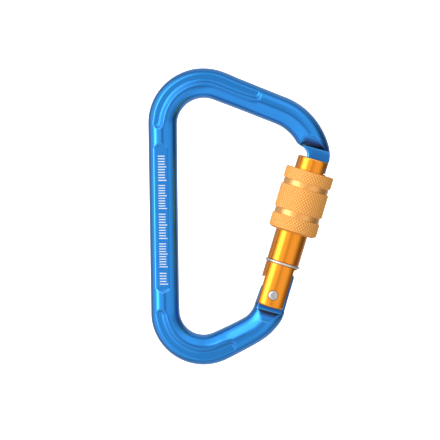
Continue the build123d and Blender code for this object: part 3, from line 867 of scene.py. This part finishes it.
def blue_anodise():
    mat = Material("blue_anodise")
    clouds = mat.noise(scale=38.0, detail=3.0, rough=0.55)
    fine = mat.noise(scale=900.0, detail=3.0, rough=0.6)
    peel = mat.noise(scale=260.0, detail=2.0, rough=0.5)
    # painted shade in the scoops and under the gate's ends
    recess = mat.attribute("recess")
    base = mat.tint((0.013, 0.275, 0.800), clouds, share=0.5, colour=(0.009, 0.235, 0.720))
    # painted shade: darker where the bar turns away from the view
    grazing_shade = mat.grazing(blend=0.42, low=0.45, high=0.98)
    worn = mat.worn_edges(radius=0.00025, low=0.02, high=0.2, scale=150.0, threshold=0.56)
    # painted shade along the creases of the corner reliefs
    crease_shade = mat.band(mat.attribute("near"), 0.60, 0.84, soft=0.10)
    for mask, share, colour in (
        (grazing_shade, 0.45, (0.020, 0.100, 0.360)),
        # painted dark line along the crest, standing in for shade
        (mat.attribute("crest"), 0.50, (0.004, 0.080, 0.380)),
        (recess, 0.86, (0.001, 0.036, 0.205)),
        # painted highlight on the rims
        (mat.attribute("rim"), 0.6, (0.10, 0.42, 0.90)),
        (worn, 0.22, (0.25, 0.52, 0.92)),
        (crease_shade, 0.80, (0.002, 0.055, 0.260)),
    ):
        base = mat.tint(base, mask, share, colour)
    place = mat.node("ShaderNodeSeparateXYZ", {"Vector": mat.coords}).outputs
    marks = etched_ticks(mat, place)
    etch = mat.math("MULTIPLY", marks, mat.lift(0.70, fine, share=0.30), clamp=True)
    rough = mat.lift(0.215, mat.math("SUBTRACT", clouds, 0.5), share=0.10)
    rough = mat.lift(rough, etch, share=0.35)
    rough = mat.lift(rough, recess, share=0.20)
    # a fine line all round the bar at y = 0
    line = mat.ramp(mat.math("ABSOLUTE", place["Y"]), low=0.0, high=0.00016)
    skin = mat.lift(mat.times(peel, 0.6), fine, share=0.25)
    normal = mat.bump(skin, strength=0.10, distance=0.00006)
    normal = mat.bump(line, strength=0.35, distance=0.00005, normal=normal)
    normal = mat.bump(marks, strength=0.4, distance=-0.00002, normal=normal)
    return mat.finish({
        "Base Color": mat.mix(etch, base, (0.86, 0.90, 0.95)),
        "Metallic": mat.math("SUBTRACT", 1.0, mat.times(etch, 0.9)),
        "Roughness": rough, "Coat Weight": 0.60, "Coat Roughness": 0.12, "Normal": normal})


def orange_anodise():
    """Polished finish of the gate, with faint turning marks; painted shade where it turns from the
    view and inside its slots and bore, and a painted highlight along its top lip.
    """
    mat = Material("orange_anodise")
    rise, radius, angle = (mat.attribute(name) for name in ("gs", "gr", "gphi"))
    stretch = mat.node("ShaderNodeCombineXYZ", {
        "X": mat.times(rise, 9.0), "Y": mat.times(radius, 2.0),
        "Z": mat.times(mat.math("SINE", angle), 0.3)}).outputs[0]
    turning = mat.noise(scale=1.0, detail=4.0, rough=0.6, vector=stretch)
    clouds = mat.noise(scale=45.0, detail=2.0, rough=0.5)
    base = mat.tint((1.0, 0.335, 0.007), clouds, share=0.6, colour=(1.0, 0.275, 0.004))
    # painted shade: deeper red where the gate turns away from the view
    grazing_shade = mat.grazing(blend=0.40, low=0.40, high=0.98)
    # painted highlight along the chamfer at the gate's top
    top_lip_highlight = mat.times(mat.band(rise, 50.38, 50.78, soft=0.10),
                        mat.math("GREATER_THAN", radius, 3.0))
    # painted shade inside the slots and the bore
    inside = mat.math("LESS_THAN", radius, 5.0)
    worn = mat.worn_edges(radius=0.0003, low=0.03, high=0.25, scale=180.0, threshold=0.5)
    for mask, share, colour in (
        (grazing_shade, 0.62, (0.95, 0.13, 0.004)),
        (top_lip_highlight, 0.55, (1.0, 0.66, 0.30)),
        (inside, 0.45, (0.45, 0.12, 0.01)),
        (worn, 0.35, (1.0, 0.74, 0.32)),
    ):
        base = mat.tint(base, mask, share, colour)
    return mat.finish({
        "Base Color": base, "Metallic": 1.0, "Roughness": mat.lift(0.20, turning, share=0.09),
        "Coat Weight": 0.60, "Coat Roughness": 0.1,
        "Normal": mat.bump(turning, strength=0.12, distance=0.00003)})


def orange_knurl():
    """Matte finish of the sleeve, polished in the grooves, with wear patches on the knurl's tips;
    the tips are also painted paler and the valleys darker as painted highlight and shade, and the
    bore is painted darker as shade.
    """
    mat = Material("orange_knurl")
    tip, polish = mat.attribute("tip"), mat.attribute("polish")
    clouds = mat.noise(scale=60.0, detail=3.0, rough=0.55)
    fine = mat.noise(scale=1400.0, detail=2.0, rough=0.6)
    patches = mat.noise(scale=420.0, detail=3.0, rough=0.7)
    worn = mat.times(mat.math("GREATER_THAN", tip, 0.86),
                     mat.math("GREATER_THAN", patches, 0.52))
    # painted shade inside the bore
    inside = mat.math("LESS_THAN", mat.attribute("gr"), 6.9)
    # painted highlight and shade: the knurl's tips paler, its valleys darker
    base = mat.mix(tip, (0.78, 0.260, 0.034), (1.0, 0.63, 0.175))
    for mask, share, colour in (
        (clouds, 0.30, (0.90, 0.36, 0.07)),
        (worn, 0.30, (1.0, 0.80, 0.50)),
        (polish, 0.85, (1.0, 0.47, 0.11)),
        (inside, 0.5, (0.50, 0.16, 0.02)),
    ):
        base = mat.tint(base, mask, share, colour)
    matte = mat.lift(0.46, fine, share=0.08)
    return mat.finish({
        "Base Color": base, "Metallic": mat.lift(0.30, polish, share=0.45),
        "Coat Weight": mat.times(polish, 0.9), "Coat Roughness": 0.16,
        "Roughness": mat.math("SUBTRACT", matte, mat.times(polish, 0.19)),
        "Normal": mat.bump(fine, strength=0.15, distance=0.00003)})


def steel(name, colour, rough, scratch_scale):
    mat = Material(name)
    scratches = mat.noise(scale=scratch_scale, detail=4.0, rough=0.65, distortion=0.4)
    clouds = mat.noise(scale=120.0, detail=2.0, rough=0.5)
    base = mat.tint(colour, clouds, share=0.5, colour=tuple(c * 0.82 for c in colour))
    spots = mat.math("GREATER_THAN", mat.noise(scale=700.0, detail=3.0, rough=0.7), 0.66)
    return mat.finish({
        "Base Color": mat.tint(base, spots, share=0.25, colour=(0.42, 0.38, 0.34)),
        "Metallic": 1.0, "Roughness": mat.lift(rough, scratches, share=0.12),
        "Normal": mat.bump(scratches, strength=0.12, distance=0.00002)})


def set_material(ob, material):
    ob.data.materials.clear()
    ob.data.materials.append(material)


# The CAD nodes that are replaced carry the same finish, in case they are shown on their own
for node_name, ob, material in (
    ("frame_body", body, blue_anodise()),
    ("gate", gate, orange_anodise()),
    ("lock_sleeve", sleeve, orange_knurl()),
    ("hinge_rivet", rivet,
     steel("rivet_steel", (0.60, 0.61, 0.62), rough=0.20, scratch_scale=900.0)),
    ("spring_plunger", plunger,
     steel("plunger_steel", (0.74, 0.74, 0.75), rough=0.22, scratch_scale=800.0)),
    ("stop_ring", ring,
     steel("ring_wire", (0.78, 0.76, 0.72), rough=0.24, scratch_scale=1100.0)),
    ("gate_spring", spring,
     steel("spring_wire", (0.66, 0.67, 0.69), rough=0.26, scratch_scale=1200.0)),
):
    set_material(ob, material)
    set_material(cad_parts[node_name], material)


# ------------------------------------------------------------------ stage
def sweep_paper():
    mat = Material("sweep_paper")
    material = mat.finish({
        "Base Color": (0.94, 0.94, 0.94, 1.0), "Roughness": 0.9,
        "Emission Color": (1.0, 1.0, 1.0, 1.0), "Emission Strength": 0.80})
    # seen from behind or from below, the paper lets the view through
    back = mat.node("ShaderNodeNewGeometry").outputs["Backfacing"]
    clear = mat.node("ShaderNodeBsdfTransparent").outputs[0]
    blend = mat.node("ShaderNodeMixShader", {0: back, 1: mat.shader.outputs[0], 2: clear})
    mat.put(mat.tree.nodes["Material Output"].inputs["Surface"], blend.outputs[0])
    return material


def build_sweep():
    """One pale sheet, its floor curving up into a backdrop."""
    bend, floor_z, back_y = 250.0, -56.0, 420.0
    front_y, top_z, half_width = -1500, 1500, 1800.0
    outline = [(y, floor_z) for y in np.linspace(front_y, back_y - bend, 14)]
    outline += [(back_y - bend + bend * math.sin(a), floor_z + bend * (1 - math.cos(a)))
                for a in np.linspace(0, math.pi / 2, 25)[1:]]
    outline += [(back_y, z) for z in np.linspace(floor_z + bend, top_z, 8)[1:]]
    count = len(outline)
    points = [(x, y, z) for x in (-half_width, half_width) for y, z in outline]
    faces = [(i, i + count, i + count + 1, i + 1) for i in range(count - 1)]
    sweep = add_mesh("sweep", points, faces)
    sweep.visible_glossy = False
    sweep.visible_diffuse = False
    set_material(sweep, sweep_paper())


build_sweep()

# ------------------------------------------------------------------ studio light, as a world
# Soft boxes, in degrees: (azimuth span), (softness of its two ends), (elevation span),
# elevation softness, power. Azimuth is 0 towards the camera and positive to the right.
SOFT_BOXES = (
    ((-71, -40), (9, 10), (-14, 33), 15, 2.9),       # key, left
    ((-94, -6), (20, 4), (-55, 62), 20, 0.43),       # left fill
    ((-116, 75), (22, 19), (-86, 88), 4, 0.50),      # white room round the camera
    ((13, 62), (7, 16), (-50, 60), 20, 0.29),        # right
    ((-75, 75), (25, 25), (36, 82), 14, 0.30),       # overhead
    ((-60, 60), (30, 30), (-88, -58), 12, 0.36),     # table bounce
    ((-118, -92), (10, 10), (-60, 60), 20, 0.25),    # far left
    ((80, 140), (14, 20), (34, 84), 14, 0.34),       # upper right, behind
    ((80, 140), (14, 20), (-84, -30), 14, 0.34),     # lower right, behind
)
BACKDROP_FROM, BACKDROP_FULL, BACKDROP_POWER = 112, 156, 0.45      # azimuths either side
AMBIENT = 0.15

world = bpy.data.worlds.new("studio")
bpy.context.scene.world = world
world.use_nodes = True
sky = world.node_tree
sky.nodes.clear()


def sky_math(operation, *values):
    node = sky.nodes.new("ShaderNodeMath")
    node.operation = operation
    for socket, value in zip(node.inputs, (*values, 0.0)[:2]):
        if isinstance(value, bpy.types.NodeSocket):
            sky.links.new(value, socket)
        else:
            socket.default_value = value
    return node.outputs[0]


def sky_ramp(value, start, end):
    """Smooth 0 to 1 from start to end, in either direction."""
    node = sky.nodes.new("ShaderNodeMapRange")
    node.interpolation_type = "SMOOTHSTEP"
    sky.links.new(value, node.inputs["Value"])
    node.inputs["From Min"].default_value = min(start, end)
    node.inputs["From Max"].default_value = max(start, end)
    if start > end:
        node.inputs["To Min"].default_value = 1.0
        node.inputs["To Max"].default_value = 0.0
    return node.outputs[0]


def sky_window(angle, span, soft_start, soft_end):
    return sky_math("MULTIPLY", sky_ramp(angle, span[0] - soft_start, span[0] + soft_start),
                    sky_ramp(angle, span[1] + soft_end, span[1] - soft_end))


def light_world():
    incoming = sky.nodes.new("ShaderNodeNewGeometry").outputs["Incoming"]
    split = sky.nodes.new("ShaderNodeSeparateXYZ")
    sky.links.new(incoming, split.inputs[0])
    x, y, z = (sky_math("MULTIPLY", split.outputs[k], -1.0) for k in range(3))
    azimuth = sky_math("DEGREES", sky_math("ARCTAN2", x, sky_math("MULTIPLY", y, -1.0)))
    elevation = sky_math("DEGREES", sky_math("ARCSINE", z))
    total = None
    for az_span, az_soft, el_span, el_soft, power in SOFT_BOXES:
        window = sky_math("MULTIPLY", sky_window(azimuth, az_span, *az_soft),
                          sky_window(elevation, el_span, el_soft, el_soft))
        box = sky_math("MULTIPLY", window, power)
        total = box if total is None else sky_math("ADD", total, box)
    behind = sky_ramp(sky_math("ABSOLUTE", azimuth), BACKDROP_FROM, BACKDROP_FULL)
    total = sky_math("ADD", total, sky_math("MULTIPLY", behind, BACKDROP_POWER))
    total = sky_math("ADD", total, AMBIENT)
    # the camera itself sees plain white
    seen = sky.nodes.new("ShaderNodeLightPath").outputs["Is Camera Ray"]
    unseen = sky_math("MULTIPLY", total, sky_math("SUBTRACT", 1.0, seen))
    background = sky.nodes.new("ShaderNodeBackground")
    sky.links.new(sky_math("ADD", unseen, seen), background.inputs["Strength"])
    background.inputs["Color"].default_value = (1, 1, 1, 1)
    output = sky.nodes.new("ShaderNodeOutputWorld")
    sky.links.new(background.outputs[0], output.inputs["Surface"])


def add_aimed(name, data, location, target):
    """Link a light or camera that looks at a target; places in metres."""
    ob = bpy.data.objects.new(name, data)
    ob.location = location
    ob.rotation_euler = (Vector(target) - Vector(location)).to_track_quat("-Z", "Y").to_euler()
    bpy.context.scene.collection.objects.link(ob)
    return ob


def add_key_light():
    light = bpy.data.lights.new("key", "AREA")
    light.shape = "RECTANGLE"
    light.size = light.size_y = 0.46
    light.energy = 0.62
    add_aimed("key", light, location=(-0.34, -0.62, 0.42), target=(0.006, 0, 0))


def add_camera():
    """A long lens, slightly above the carabiner."""
    distance, view_width = 1.10, 0.157432
    elevation = math.radians(2.0)
    target = Vector((0.006012, 0, -0.000792))
    camera = bpy.data.cameras.new("camera")
    camera.sensor_width = 36.0
    camera.lens = 36.0 * distance / view_width
    camera.clip_start, camera.clip_end = 0.01, 20
    location = target + Vector((0, -math.cos(elevation), math.sin(elevation))) * distance
    bpy.context.scene.camera = add_aimed("camera", camera, location, target)


light_world()
add_key_light()
add_camera()
bpy.context.scene.view_settings.view_transform = "Standard"
bpy.context.scene.view_settings.look = "None"
